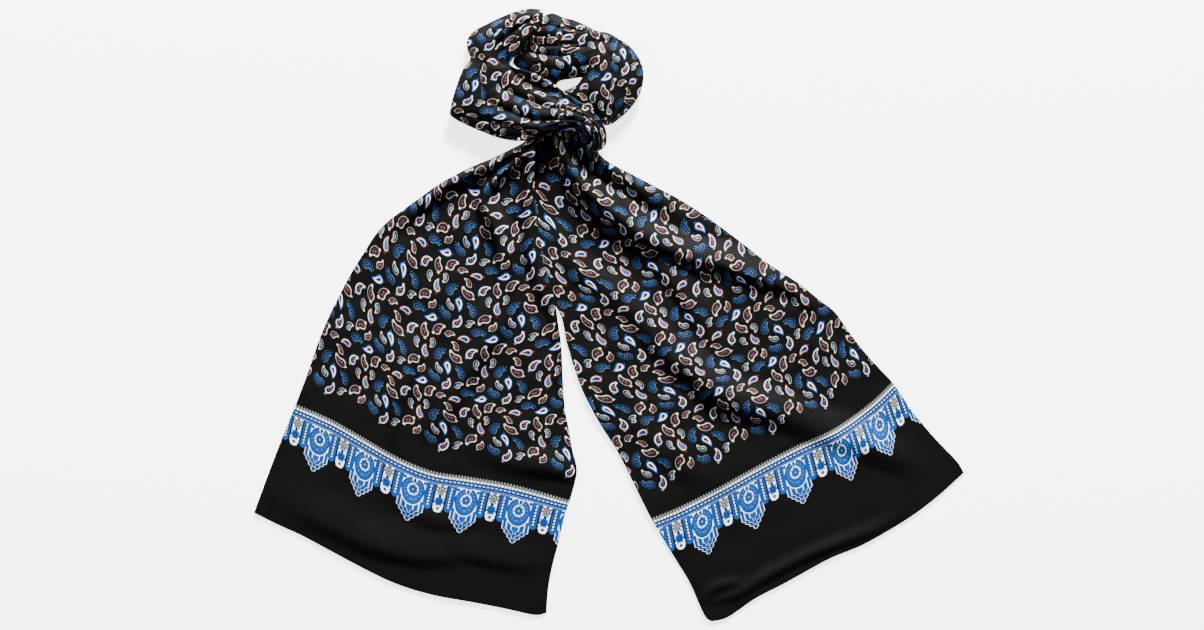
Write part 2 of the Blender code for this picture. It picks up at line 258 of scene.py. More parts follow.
BACK_FURROWS = [(0.05, 0.95, 0.62, 0.55, 1.4, 0.14), (0.30, 0.98, 0.86, 0.80, 1.0, 0.08)]
# Round edge of the doubled cloth: distance in from the outline, share of the half wall
CLOTH_RIM = [(0.40, 0.0), (0.0, 0.5), (0.12, 0.82), (0.45, 1.0)]


def dense(rows, steps=12):
    """Smooth run of points through the rows of a table."""
    rows = np.array(rows, float)
    before = np.vstack([2 * rows[0] - rows[1], rows[:-2], rows[-2]])
    after = np.vstack([rows[2:], 2 * rows[-1] - rows[-2], rows[-1]])
    result = []
    for index in range(len(rows) - 1):
        p0 = before[index] if index else before[0]
        p1 = rows[index]
        p2 = rows[index + 1]
        p3 = after[index]
        for step in range(steps):
            t = step / steps
            result.append(
                0.5 * (2 * p1 + (p2 - p0) * t + (2 * p0 - 5 * p1 + 4 * p2 - p3) * t * t
                       + (3 * p1 - p0 - 3 * p2 + p3) * t ** 3)
            )
    result.append(rows[-1])
    return np.array(result)


def plan(rows, steps=12):
    """The same run as points of the plan, x + iy."""
    line = dense([row[:2] for row in rows], steps)
    return line[:, 0] + 1j * line[:, 1]


def runs(line):
    """Length along a line up to each of its points."""
    return np.concatenate([[0.0], np.cumsum(np.abs(np.diff(line)))])


def along(line, share):
    """Points of a line at shares of its length."""
    place = runs(line)
    at = np.asarray(share) * place[-1]
    return np.interp(at, place, line.real) + 1j * np.interp(at, place, line.imag)


def soft(value):
    """Smooth step from 0 to 1."""
    value = np.clip(value, 0.0, 1.0)
    return value * value * (3.0 - 2.0 * value)


def ridges(place, folds):
    """Height of all the folds over flat cloth, at an array of plan points."""
    total = np.zeros(place.shape)
    for fold in folds:
        table = dense(fold, 4)
        best = np.zeros(place.shape)
        for first, last in zip(table[:-1], table[1:]):
            start = complex(first[0], first[1])
            reach = complex(last[0], last[1]) - start
            local = (place - start) / reach
            share = np.clip(local.real, 0.0, 1.0)
            apart = np.abs(place - start - reach * share)
            left = first[3] + (last[3] - first[3]) * share
            right = first[4] + (last[4] - first[4]) * share
            width = np.where(local.imag > 0, left, right)
            height = first[2] + (last[2] - first[2]) * share
            bump = 0.5 + 0.5 * np.cos(np.pi * np.clip(apart / width, 0.0, 1.0))
            best = np.maximum(best, height * bump)
        total += best ** 3
    return total ** (1.0 / 3.0)


def ripple(place, size):
    """Low uneven swell of cloth that was smoothed by hand."""
    x = place.real / size
    y = place.imag / size
    swell = np.sin(1.7 * x + 0.6 * y + 0.4) * np.sin(0.5 * x - 1.3 * y + 1.1)
    swell += 0.6 * np.sin(2.9 * x - 1.8 * y + 2.0) * np.sin(1.1 * x + 2.3 * y)
    return swell


def ground(place, lower):
    """Height that a stretch passes over the stretches below it."""
    flat = place.ravel()
    result = np.zeros(flat.shape)
    if lower is None:
        return result.reshape(place.shape)
    for start in range(0, len(flat), 400):
        some = flat[start:start + 400]
        apart = np.abs(some[:, None] - lower[0][None, :])
        share = soft((SOFT_REACH - apart) / (SOFT_REACH - SURE_REACH))
        result[start:start + 400] = np.max(lower[1][None, :] * share, axis=1)
    result = np.where(result > 0.05, result + LAYER_GAP, 0.0)
    return result.reshape(place.shape)


def thin(place, height, step=4):
    """Every few points of a piece's top, for what lies on it."""
    return place[::step, ::step].ravel(), height[::step, ::step].ravel()


def joined(first, second):
    """The tops of two heaps of points as one."""
    return np.concatenate([first[0], second[0]]), np.concatenate([first[1], second[1]])


def sheet_of_points(body, place, height, maps, flip):
    """A grid mesh laid through an array of points, with its cloth and print coordinates."""
    rows, columns = place.shape
    made = bmesh.ops.create_grid(body, x_segments=columns - 1, y_segments=rows - 1, size=0.5)
    verts = made["verts"]
    faces = set()
    for vert in verts:
        column = int(round((vert.co.x + 0.5) * (columns - 1)))
        row = int(round((vert.co.y + 0.5) * (rows - 1)))
        vert[body.verts.layers.int["row"]] = row
        vert[body.verts.layers.int["column"]] = column
        faces.update(vert.link_faces)
    for face in faces:
        for loop in face.loops:
            row = loop.vert[body.verts.layers.int["row"]]
            column = loop.vert[body.verts.layers.int["column"]]
            for name, values in maps.items():
                value = values[row, column]
                loop[body.loops.layers.uv[name]].uv = (value.real * MM, value.imag * MM)
    for vert in verts:
        row = vert[body.verts.layers.int["row"]]
        column = vert[body.verts.layers.int["column"]]
        at = place[row, column] - MIDDLE
        vert.co = (at.real * MM, at.imag * MM, height[row, column] * MM)
    if flip:
        bmesh.ops.reverse_faces(body, faces=list(faces))


def new_body():
    """Empty mesh with the layers that a sheet of cloth needs."""
    body = bmesh.new()
    body.verts.layers.int.new("row")
    body.verts.layers.int.new("column")
    body.loops.layers.uv.new("cloth")
    body.loops.layers.uv.new("print")
    return body


def finish_body(name, body, material):
    """Weld the sheets at their edges, close what is open and make the piece."""
    bmesh.ops.remove_doubles(body, verts=body.verts, dist=WELD)
    loose = [edge for edge in body.edges if edge.is_boundary]
    if loose:
        bmesh.ops.holes_fill(body, edges=loose, sides=0)
    bmesh.ops.recalc_face_normals(body, faces=body.faces)
    for face in body.faces:
        face.smooth = True
    mesh = bpy.data.meshes.new(name)
    body.to_mesh(mesh)
    body.free()
    item = bpy.data.objects.new(name, mesh)
    bpy.context.scene.collection.objects.link(item)
    mesh.materials.append(material)
    return item


def tail_rows(edges, ends, bows, border_at, length, marks, insets, columns):
    """Points of the rows from the short end up, and each point's share across its row."""
    first, last = [plan(edge) for edge in edges]
    hem, border = [plan(end) for end in ends]
    even = np.linspace(0.0, 1.0, 400)
    hem_shape = (along(hem, even) - hem[0]) / (hem[-1] - hem[0])
    border_shape = (along(border, even) - border[0]) / (border[-1] - border[0])
    place = []
    spots = []
    for mark in marks:
        at = min(max(mark / length, 0.0), 1.0)
        start = along(first, at)
        reach = along(last, at) - start
        arc = even - 4j * np.interp(at, *np.array(bows).T) * even * (1.0 - even)
        near = min(1.0, at / border_at)
        far = soft((at - border_at) / (0.5 - border_at))
        shape = hem_shape * (1.0 - near) + border_shape * near
        shape = shape * (1.0 - far) + arc * far
        line = start + reach * shape
        total = runs(line)[-1]
        rim = insets / total
        inner = np.linspace(SELVEDGE / total, 1.0 - SELVEDGE / total, columns)
        spot = np.concatenate([rim, inner, 1.0 - rim[::-1]])
        place.append(along(line, spot))
        spots.append(spot)
    return np.array(place), np.array(spots)


def tail_maps(place, middle, spots, marks, spread, anchor, skew, lobe_start):
    """Cloth coordinates of a tail, and those of its print, which keep lengths near the anchor."""
    steps = np.sqrt(np.abs(np.diff(place, axis=1)) ** 2 + np.diff(middle, axis=1) ** 2)
    across = np.concatenate([np.zeros((len(marks), 1)), np.cumsum(steps, axis=1)], axis=1)
    widths = np.interp(spots, *np.array(spread).T)
    pivot_width = np.interp(anchor, *np.array(spread).T)
    pivot = np.array([np.interp(anchor, spots[i], across[i]) for i in range(len(marks))])
    level = pivot_width + across - pivot[:, None]
    mix = soft((marks - LEVEL_START) / LEVEL_RUN)[:, None]
    u = widths * (1.0 - mix) + level * mix
    v = np.broadcast_to(marks[:, None], u.shape)
    slant = skew[0] + (skew[1] - skew[0]) * u / SCARF_WIDTH
    slide = slant * np.maximum(0.0, BORDER_TOP - v)
    return {"cloth": u + slide - lobe_start + 1j * v, "print": u + 1j * v}


def tail(name, edges, ends, folds, bows, spread, border_at, length, lower, rows, columns,
         anchor, skew, lobe_start, material):
    """One tail, a doubled wall of cloth from the short end to the knot.

    border_at is the share of its length at which the border lies, anchor the share of its width
    that keeps its place in the print, skew the slant of the border's ornaments at its two sides,
    and lobe_start the place of its first white lobe in mm.
    """
    insets, lifts = np.array(CLOTH_RIM).T
    inner_rows = np.linspace(SELVEDGE, length - SELVEDGE, rows)
    marks = np.concatenate([insets, inner_rows, length - insets[::-1]])
    row_lift = np.concatenate([lifts, np.ones(rows), lifts[::-1]])
    column_lift = np.concatenate([lifts, np.ones(columns), lifts[::-1]])
    lift = np.minimum(row_lift[:, None], column_lift[None, :])
    place, spots = tail_rows(edges, ends, bows, border_at, length, marks, insets, columns)
    calm = 0.30 + 0.70 * soft((marks / length - 0.12) / 0.25)[:, None]
    swell = BROAD_SWELL[0] * (SWELL_LIFT + ripple(place, BROAD_SWELL[1]))
    swell += NARROW_SWELL[0] * (SWELL_LIFT + ripple(place * 1j + 40, NARROW_SWELL[1]))
    middle = ground(place, lower) + 0.5 * WALL + ridges(place, folds) + calm * swell
    top = middle + 0.5 * WALL * lift
    under = middle - 0.5 * WALL * lift
    maps = tail_maps(place, middle, spots, marks, spread, anchor, skew, lobe_start)
    body = new_body()
    sheet_of_points(body, place, top, maps, False)
    sheet_of_points(body, place, under, maps, True)
    return finish_body(name, body, material), (place, top)


def furrowed(shape, shares, flat, furrows):
    """The shape with its furrows, and the width of cloth that they have taken up."""
    hidden = np.zeros(shape.shape)
    for start, stop, first, last, depth, half in furrows:
        run = np.clip((shares - start) / (stop - start), 0.0, 1.0)
        inside = np.sin(np.pi * run)[:, None] ** 0.7
        where = first + (last - first) * run + 0.012 * np.sin(9.0 * run + 7.0 * first)
        aside = flat[None, :] - where[:, None]
        dip = np.exp(-2.4 * np.abs(aside / half) ** 1.35)
        bank = np.exp(-1.0 * (np.abs(aside / half) - 1.8) ** 2)
        shape = shape + 1.15 * depth * inside * (0.30 * bank - dip)
        hidden = hidden + 2.6 * depth * inside * (0.5 + 0.5 * np.tanh(aside / 0.004))
    return shape, hidden


def band(name, table, furrows, layers, lower, stations, columns, turn, spin, material):
    """One stretch of the loop: rounded gathered cloth with its folded layers at the sides.

    turn and spin are the place in mm and the angle in degrees of its print.
    """
    table = dense(table, 10)
    centre = 0.5 * (table[:, 0] + table[:, 2]) + 0.5j * (table[:, 1] + table[:, 3])
    length = runs(centre)
    shares = np.linspace(0.0, 1.0, stations)
    rows = np.array([np.interp(shares * length[-1], length, table[:, k]) for k in range(5)]).T
    inner = rows[:, 0] + 1j * rows[:, 1]
    outer = rows[:, 2] + 1j * rows[:, 3]
    crest = rows[:, 4]
    width = np.abs(outer - inner)
    direction = (outer - inner) / width
    ends = np.minimum(shares, 1.0 - shares) * length[-1]
    from_round = 1.0 - np.clip(ends / END_ROUND, 0.0, 1.0)
    close = np.sqrt(np.clip(1.0 - from_round ** 2, 0.0009, 1.0))
    swell = soft(np.sin(np.pi * np.clip(shares, 0.02, 0.98)) * 3.0)
    even = np.linspace(0.0, 1.0, columns)
    flat = 0.6 * (0.5 - 0.5 * np.cos(np.pi * even)) + 0.4 * even
    place = inner[:, None] + (outer - inner)[:, None] * flat[None, :]
    base = ground(place, lower)
    shape = crest[:, None] * (1.0 - SIDE_FALL * np.abs(2.0 * flat - 1.0)[None, :] ** 2.6)
    shape, hidden = furrowed(shape, shares, flat, furrows)
    shape = shape + 0.25 * ripple(place, 6.0) * swell[:, None]
    top = np.maximum(shape, base + LEAST_HEAP)
    drop = np.linspace(0.0, 1.0, RIM_POINTS + 2)[1:-1]
    bulge = np.abs(np.sin(np.pi * (layers * drop))) ** 0.55
    round_off = 1.0 - np.sqrt(np.clip(1.0 - (2.0 * drop - 1.0) ** 4, 0.0, 1.0))
    inset = 1.5 * (1.0 - bulge) + 1.6 * round_off
    scale = np.minimum(1.0, width / FULL_WIDTH)
    low_flat = np.linspace(0.0, 1.0, UNDER_POINTS)
    middle_column = columns // 2
    rings = []
    heights = []
    unrolled = []
    for index in range(stations):
        edge = EDGE * scale[index]
        span = width[index]
        tops = top[index]
        lows = np.interp(low_flat, flat, base[index])
        ring_at = np.concatenate([
            edge + (span - 2.0 * edge) * flat, span - inset * scale[index],
            (edge + (span - 2.0 * edge) * low_flat)[::-1], inset[::-1] * scale[index],
        ])
        ring_z = np.concatenate([
            tops, tops[-1] + (lows[-1] - tops[-1]) * drop,
            lows[::-1], lows[0] + (tops[0] - lows[0]) * (1.0 - drop[::-1]),
        ])
        middle_at = 0.5 * span
        middle_z = 0.5 * (np.max(tops) + np.min(lows))
        ring_at = middle_at + (ring_at - middle_at) * close[index]
        ring_z = middle_z + (ring_z - middle_z) * close[index]
        step = np.sqrt(np.diff(ring_at) ** 2 + np.diff(ring_z) ** 2)
        total = np.concatenate([[0.0], np.cumsum(step)])
        level = total - total[middle_column]
        level[:columns] += hidden[index] - hidden[index, middle_column]
        level[columns:] += hidden[index, -1] - hidden[index, middle_column]
        back_start = len(ring_at) - RIM_POINTS - UNDER_POINTS // 2
        whole = total[-1] + math.hypot(ring_at[0] - ring_at[-1], ring_z[0] - ring_z[-1])
        level[back_start:] = level[back_start:] - whole - hidden[index, -1]
        ring = inner[index] + direction[index] * ring_at
        rings.append(ring)
        heights.append(ring_z)
        unrolled.append(ring[middle_column] + direction[index] * level)
    place, height, chart = [
        np.hstack([values, values[:, :1]])
        for values in (np.array(rings), np.array(heights), np.array(unrolled))
    ]
    printed = BAND_PRINT * chart * np.exp(1j * math.radians(spin)) + turn
    body = new_body()
    maps = {"cloth": printed + NO_BORDER, "print": printed}
    sheet_of_points(body, place, height, maps, False)
    return finish_body(name, body, material), (place[:, :columns], height[:, :columns])


class Wire:
    """A number in the shader that takes part in ordinary arithmetic."""

    def __init__(self, tree, socket):
        self.tree = tree
        self.socket = socket

    def math(self, operation, *values, clamp=False):
        node = self.tree.nodes.new("ShaderNodeMath")
        node.operation = operation
        node.use_clamp = clamp
        for index, value in enumerate(values):
            if isinstance(value, Wire):
                self.tree.links.new(value.socket, node.inputs[index])
            else:
                node.inputs[index].default_value = value
        return Wire(self.tree, node.outputs[0])

    def __add__(self, other):
        return self.math("ADD", self, other)

    def __radd__(self, other):
        return self.math("ADD", other, self)

    def __sub__(self, other):
        return self.math("SUBTRACT", self, other)

    def __rsub__(self, other):
        return self.math("SUBTRACT", other, self)

    def __mul__(self, other):
        return self.math("MULTIPLY", self, other)

    def __rmul__(self, other):
        return self.math("MULTIPLY", other, self)

    def __truediv__(self, other):
        return self.math("DIVIDE", self, other)

    def __rtruediv__(self, other):
        return self.math("DIVIDE", other, self)

    def __pow__(self, other):
        return self.math("POWER", self, other)

    def __abs__(self):
        return self.math("ABSOLUTE", self)

    def __lt__(self, other):
        return self.math("LESS_THAN", self, other)

    def __gt__(self, other):
        return self.math("GREATER_THAN", self, other)

    def low(self, other):
        """The smaller of the two."""
        return self.math("MINIMUM", self, other)

    def high(self, other):
        """The larger of the two."""
        return self.math("MAXIMUM", self, other)

    def sine(self):
        return self.math("SINE", self)

    def wrap(self, size):
        """Distance from the nearest multiple of a size, with its sign."""
        return self.math("WRAP", self, 0.5 * size, -0.5 * size)

    def root(self):
        return self.math("SQRT", self)

    def above(self, edge, blur=0.15):
        """1 where the value is over the edge, with a short soft step."""
        return self.math("MULTIPLY_ADD", self, 1.0 / blur, 0.5 - edge / blur, clamp=True)

    def below(self, edge, blur=0.15):
        """1 where the value is under the edge, with the same step."""
        return self.math("MULTIPLY_ADD", self, -1.0 / blur, 0.5 + edge / blur, clamp=True)

    def between(self, first, last, blur=0.15):
        """1 from the first edge to the last."""
        return self.above(first, blur) * self.below(last, blur)


def away(x, y):
    """Distance from a centre."""
    return (x * x + y * y).root()


class Painter:
    """A material's node tree, built from expressions."""

    def __init__(self, name):
        self.material = bpy.data.materials.new(name)
        self.material.use_nodes = True
        self.tree = self.material.node_tree
        self.shader = self.tree.nodes["Principled BSDF"]

    def node(self, kind, settings=None, values=None, output=0):
        """A node of a kind, with its settings, then the values or links of its sockets."""
        made = self.tree.nodes.new(kind)
        for key, value in (settings or {}).items():
            setattr(made, key, value)
        for key, value in (values or {}).items():
            socket = made.inputs[key]
            if isinstance(value, Wire):
                self.tree.links.new(value.socket, socket)
            elif hasattr(value, "is_output"):
                self.tree.links.new(value, socket)
            else:
                socket.default_value = value
        return made.outputs[output]

    def number(self, *arguments, **words):
        """A node whose output takes part in arithmetic."""
        return Wire(self.tree, self.node(*arguments, **words))

    def angle(self, first, second):
        """Angle in radians whose tangent is the first over the second."""
        return self.number("ShaderNodeMath", {"operation": "ARCTAN2"}, {0: first, 1: second})

    def petals(self, x, y, count):
        """Wave round a centre, for petals and dots."""
        return (self.angle(x, y) * count).sine()

    def in_mm(self, name):
        """One of the piece's maps, in millimetres."""
        scaled = self.vector("SCALE", self.node("ShaderNodeUVMap", {"uv_map": name}))
        scaled.node.inputs["Scale"].default_value = 1.0 / MM
        return scaled

    def vector(self, operation, *values, output=0):
        return self.node(
            "ShaderNodeVectorMath", {"operation": operation}, dict(enumerate(values)), output
        )

    def parts(self, vector):
        """The three numbers of a vector or colour."""
        made = self.tree.nodes.new("ShaderNodeSeparateXYZ")
        self.tree.links.new(vector, made.inputs[0])
        return [Wire(self.tree, socket) for socket in made.outputs]

    def mix(self, share, first, second):
        """Colour mix; sockets 6 and 7 are the two colours and output 2 is the mixed colour."""
        return self.node(
            "ShaderNodeMix", {"data_type": "RGBA"}, {0: share, 6: first, 7: second}, 2
        )

    def swap(self, share, first, second):
        """Vector mix; sockets 4 and 5 are the two vectors and output 1 is the mixed one."""
        return self.node(
            "ShaderNodeMix", {"data_type": "VECTOR"}, {0: share, 4: first, 5: second}, 1
        )

    def steps(self, value, colours):
        """One flat colour for each whole number that the value can be."""
        made = self.tree.nodes.new("ShaderNodeValToRGB")
        made.color_ramp.interpolation = "CONSTANT"
        stops = made.color_ramp.elements
        stops[0].color = (*colours[0], 1.0)
        stops[0].position = 0.0
        stops.remove(stops[1])
        for index in range(1, len(colours)):
            stop = stops.new(index / len(colours))
            stop.color = (*colours[index], 1.0)
        factor = (value + 0.5) / len(colours)
        self.tree.links.new(factor.socket, made.inputs[0])
        return made.outputs[0]


# Dyes
GROUND = (0.0013, 0.0015, 0.0013, 1.0)
CREAM = (0.50, 0.46, 0.38, 1.0)
WHITE = (0.80, 0.80, 0.79, 1.0)
BLUE = (0.002, 0.056, 0.26, 1.0)
DEEP = (0.002, 0.014, 0.075, 1.0)
SKY = (0.0003, 0.042, 0.195, 1.0)
SEA = (0.003, 0.030, 0.14, 1.0)
GREY = (0.17, 0.19, 0.18, 1.0)
SMOKE = (0.060, 0.066, 0.068, 1.0)
SLATE = (0.095, 0.145, 0.22, 1.0)
RED = (0.10, 0.015, 0.013, 1.0)
RUST = (0.055, 0.012, 0.009, 1.0)
PLUM = (0.028, 0.007, 0.011, 1.0)
MAUVE = (0.14, 0.08, 0.12, 1.0)

# Kinds of motif: outline, second ring, core, heart, leaf, bend, tip radius, line weight
KINDS = {
    "drop": (BLUE, WHITE, RED, PLUM, SEA, 0.55, 0.10, 1.25),
    "rust": (RED, CREAM, BLUE, DEEP, RED, 0.80, 0.12, 0.95),
    "ember": (RED, CREAM, GROUND, BLUE, RUST, 0.90, 0.12, 0.90),
    "cream": (CREAM, GROUND, PLUM, PLUM, CREAM, 1.05, 0.15, 0.86),
    "moon": (BLUE, CREAM, GROUND, PLUM, SLATE, 1.10, 0.14, 0.80),
    "fringe": (SLATE, GROUND, SKY, GROUND, GROUND, 1.00, 0.27, 0.95),
    "bud": (CREAM, GROUND, DEEP, SLATE, RUST, 1.10, 0.14, 1.0),
    "seed": (CREAM, GROUND, RUST, RUST, SLATE, 1.10, 0.14, 0.95),
}
# The drop in its own units, half its length being 1: its width, where its head lies, the head's
# radius, the length of the arc from the head to the tip, how it tapers, and its leaf's far end
DROP_WIDTH = 0.56
HEAD_SIDE = 0.18
HEAD_BACK = 0.42
HEAD = 0.50
SPINE = 1.22
TAPER = 1.55
LEAF = (-0.40, -0.56)
# How far in its rings start: second ring, more of it on the first three kinds, core and heart
RING_IN = 0.080
WIDE_RING_IN = 0.050
CORE_IN = 0.225
HEART_IN = 0.31
# Dots on the cores of the later kinds: across, along, radius, colour
DROP_DOTS = [(0.05, 0.10, 0.075, MAUVE), (0.10, 0.45, 0.06, SLATE)]
# Motifs are whole: the lowest ones keep this far above the start of the print, in mm
MOTIF_ROOM = 6.5
# A motif's kind travels in the third coordinate, in these steps
KIND_STEP = 0.001
# One repeat, charted from the photo: kind, across, down, tip's direction, half length, hand
MOTIFS = [
    ("drop", 0.00, 0.00, 222, 7.2, 1),
    ("drop", 0.48, 0.58, -58, 7.2, 1),
    ("rust", 0.51, 0.04, 168, 6.9, -1),
    ("ember", 0.00, 0.53, 124, 7.3, 1),
    ("cream", 0.86, 0.72, 192, 7.6, -1),
    ("cream", 0.93, 0.21, 136, 7.3, 1),
    ("cream", 0.16, 0.13, 84, 7.5, 1),
    ("cream", 0.515, 0.36, 184, 7.8, 1),
    ("moon", 0.72, 0.26, 86, 7.3, 1),
    ("moon", 0.475, 0.85, 30, 7.2, -1),
    ("fringe", 0.755, 0.98, 42, 7.2, 1),
    ("fringe", 0.235, 0.81, 182, 7.2, 1),
    ("fringe", 0.70, 0.55, 96, 7.1, -1),
    ("fringe", 0.28, 0.40, 86, 7.5, 1),
    ("bud", 0.63, 0.79, 74, 5.5, 1),
    ("seed", 0.01, 0.81, 24, 5.5, -1),
    ("bud", 0.26, 0.625, 162, 5.5, 1),
    ("seed", 0.325, 0.05, 52, 5.2, 1),
    ("bud", 0.90, 0.40, 246, 5.3, -1),
    ("bud", 0.10, 0.40, 296, 5.3, 1),
    ("seed", 0.43, 0.20, 104, 5.2, -1),
]
# Spacing of the motifs: clear distance in mm, size that each takes up against its drawn one,
# rounds, and share of what a pair lacks that each of the two moves in a round
MOTIF_GAP = 2.9
MOTIF_ROUNDING = 1.06
SPACING_ROUNDS = 900
SPACING_STEP = 0.05


def motif_spots(kind, tip, half_length, hand):
    """Round spots that cover a motif and its leaf: their places from its centre, and radii."""
    bend, point = KINDS[kind][5:7]
    run = np.linspace(0.0, SPINE, 5)
    side = np.append((1.0 - np.cos(run * bend)) / bend, LEAF[0]) - HEAD_SIDE * bend
    rise = np.append(np.sin(run * bend) / bend, LEAF[1]) - HEAD_BACK
    leaf = -1.0 if kind == "fringe" else 0.10
    radius = np.append(HEAD - (HEAD - point) * (run / SPINE) ** TAPER, leaf)
    size = MOTIF_ROUNDING * half_length
    return (hand * side + 1j * rise) * np.exp(1j * math.radians(tip - 90)) * size, radius * size


def spaced_motifs():
    """Centres of the motifs in mm, moved apart from their charted places until they are clear."""
    spots = [motif_spots(motif[0], *motif[3:]) for motif in MOTIFS]
    offsets = np.array([places for places, radii in spots])
    radii = np.array([radii for places, radii in spots])
    charted = [(motif[1] * REPEAT[0], (1.0 - motif[2]) * REPEAT[1]) for motif in MOTIFS]
    centres = np.array([complex(*place) for place in charted])
    many = len(MOTIFS)
    reach = radii[:, None, :, None] + radii[None, :, None, :]
    between = offsets[:, None, :, None] - offsets[None, :, None, :]
    for turn in range(SPACING_ROUNDS):
        apart = centres[:, None] - centres[None, :]
        apart = apart - REPEAT[0] * np.round(apart.real / REPEAT[0])
        apart = apart - 1j * REPEAT[1] * np.round(apart.imag / REPEAT[1])
        lines = (apart[:, :, None, None] + between).reshape(many, many, -1)
        gaps = np.abs(lines) - reach.reshape(many, many, -1)
        nearest = np.argmin(gaps, axis=2)[:, :, None]
        line = np.take_along_axis(lines, nearest, axis=2)[:, :, 0]
        lack = np.maximum(0.0, MOTIF_GAP - np.take_along_axis(gaps, nearest, axis=2)[:, :, 0])
        np.fill_diagonal(lack, 0.0)
        centres = centres + SPACING_STEP * np.sum(lack * line / (np.abs(line) + 1e-6), axis=1)
    return centres


def motif_field(paint, spot):
    """Coordinates inside the nearest motif, with its kind in the third one."""
    names = list(KINDS)
    half_repeat = (0.5 * REPEAT[0], 0.5 * REPEAT[1], 1.0)
    best = None
    for motif, centre in zip(MOTIFS, spaced_motifs()):
        kind = motif[0]
        tip, half_length, hand = motif[3:]
        centre_v = centre.imag % REPEAT[1]
        turns = math.ceil((PRINT_START + MOTIF_ROOM - centre_v) / REPEAT[1])
        lowest = centre_v + (turns - 0.5) * REPEAT[1]
        held = paint.vector("MAXIMUM", spot, (-1e6, lowest, 0.0))
        held = paint.vector("SUBTRACT", held, (centre.real % REPEAT[0], centre_v, 0.0))
        held = paint.vector("WRAP", held, half_repeat, tuple(-half for half in half_repeat))
        local = paint.node(
            "ShaderNodeMapping", {"vector_type": "TEXTURE"},
            {
                "Vector": held, "Location": (0.0, 0.0, -KIND_STEP * names.index(kind)),
                "Rotation": (0.0, 0.0, math.radians(tip - 90)),
                "Scale": (hand * DROP_WIDTH * half_length, half_length, 1.0),
            },
        )
        far = Wire(paint.tree, paint.vector("LENGTH", local, output=1))
        if best is None:
            best, nearest = local, far
        else:
            best = paint.swap(far < nearest, best, local)
            nearest = far.low(nearest)
    return best


def motif_colours(paint, spot, colour):
    """The paisley print: drops bent along an arc, with an outline, rings, dots and a leaf."""
    x, y, kind = paint.parts(motif_field(paint, spot))
    kind = kind * (1.0 / KIND_STEP)
    looks = list(KINDS.values())
    outline, second, core, heart, leaf = [
        paint.steps(kind, [look[layer][:3] for look in looks]) for layer in range(5)
    ]
    # bend, tip radius and line weight, at half size where they can be over 1
    traits = [(look[5] / 2.0, look[6], look[7] / 2.0) for look in looks]
    bend, point, weight = paint.parts(paint.steps(kind, traits))
    bend = bend * 2.0
    weight = weight * 2.0
    ends = [
        (0.5 * (1.0 - math.cos(SPINE * look[5])) / look[5],
         0.5 * math.sin(SPINE * look[5]) / look[5], 0.0) for look in looks
    ]
    tip_x, tip_y = paint.parts(paint.steps(kind, ends))[:2]
    fringe = point.above(0.2, 0.01)
    side = DROP_WIDTH * x + HEAD_SIDE * bend
    rise = y + HEAD_BACK
    # the drop narrows along its arc, from a round head to a round tip
    radius = 1.0 / bend
    arc = away(radius - side, rise)
    run = paint.angle(rise, radius - side) * radius
    climb = (run / SPINE).high(0.0).low(1.0)
    wall = abs(arc - radius) - HEAD + (HEAD - point) * climb ** TAPER
    head = away(side, rise) - HEAD
    tip = away(side - 2.0 * tip_x, rise - 2.0 * tip_y)
    distance = wall + (head - wall) * (run < 0.0)
    distance = distance + (tip - point - distance) * (run > SPINE)
    ray = paint.petals(side - 0.12, rise - 0.30, 17.0)
    inside = distance.below(0.0, 0.05)
    deep = distance / weight
    swell = deep + 0.125 * (radius - arc).high(-0.4).low(0.4)
    colour = paint.mix(inside * (1.0 - fringe * ray.above(-0.3, 0.6)), colour, outline)
    rim = -RING_IN - WIDE_RING_IN * (kind < 2.5)
    colour = paint.mix((swell - rim).below(0.0, 0.04), colour, second)
    colour = paint.mix(deep.below(-CORE_IN, 0.04), colour, core)
    colour = paint.mix(deep.below(-HEART_IN, 0.04), colour, heart)
    leaf_x = side + 0.34
    leaf_y = rise + 0.50
    stalk = away(leaf_x, leaf_y) + 0.5 * (leaf_x + leaf_y).high(0.0)
    colour = paint.mix(stalk.below(0.17, 0.06) * distance.above(0.03, 0.02), colour, leaf)
    bead = tip.below(0.155, 0.05) * (kind > 2.5) * (1.0 - fringe)
    colour = paint.mix(bead, colour, CREAM)
    for across, up, size, shade in DROP_DOTS:
        dot = away(side - across, rise - up)
        colour = paint.mix(dot.below(size, 0.05) * (kind > 1.5), colour, shade)
    return colour, inside


# The border, in mm down from its top
# Lines along it: first edge, last edge, colour, pitch of its dashes, half a dash, blur
CORD_LINES = [
    (3.0, 5.4, SMOKE, None, None, None), (3.3, 4.9, WHITE, 3.3, 1.1, 0.5),
    (5.4, 11.3, SKY, None, None, None), (5.3, 6.4, DEEP, None, None, None),
    (8.3, 9.2, DEEP, None, None, None), (7.0, 7.7, WHITE, 4.0, 0.9, 0.3),
    (9.7, 10.2, GREY, 2.8, 0.6, 0.3), (10.9, 11.5, GREY, None, None, None),
]
TOOTH_PITCH = 2.9
TOOTH_SLOPE = 1.7
TOOTH_FOOT = 3.2
CELL_TOP = 11.3
# Medallion: half width of its cell, point of its drop and how it narrows, steps and their depth
CELL_HALF = 12.4
DROP_TOP = 30.0
DROP_POINT = 50.9
DROP_SLOPE = 1.02
STEP_PITCH = 3.4
STEP_DEPTH = 1.1
# Lines inside the drop: first edge, last edge, colour
DROP_WAVES = [(1.9, 3.0, DEEP), (4.1, 4.5, WHITE), (6.0, 7.2, DEEP), (8.5, 8.8, WHITE)]
RING_DOWN = 21.8
RING_RADIUS = 10.9
MOUTH_TOP = 11.6
MOUTH_FOOT = 18.4
# Blue bar: its middle, foot and half width, and the slot with beads
BAR_ACROSS = 15.4
BAR_FOOT = 31.4
BAR_HALF = 3.3
SLOT_DOWN = 22.4
SLOT_HALF = 6.8
BEAD_PITCH = 2.7
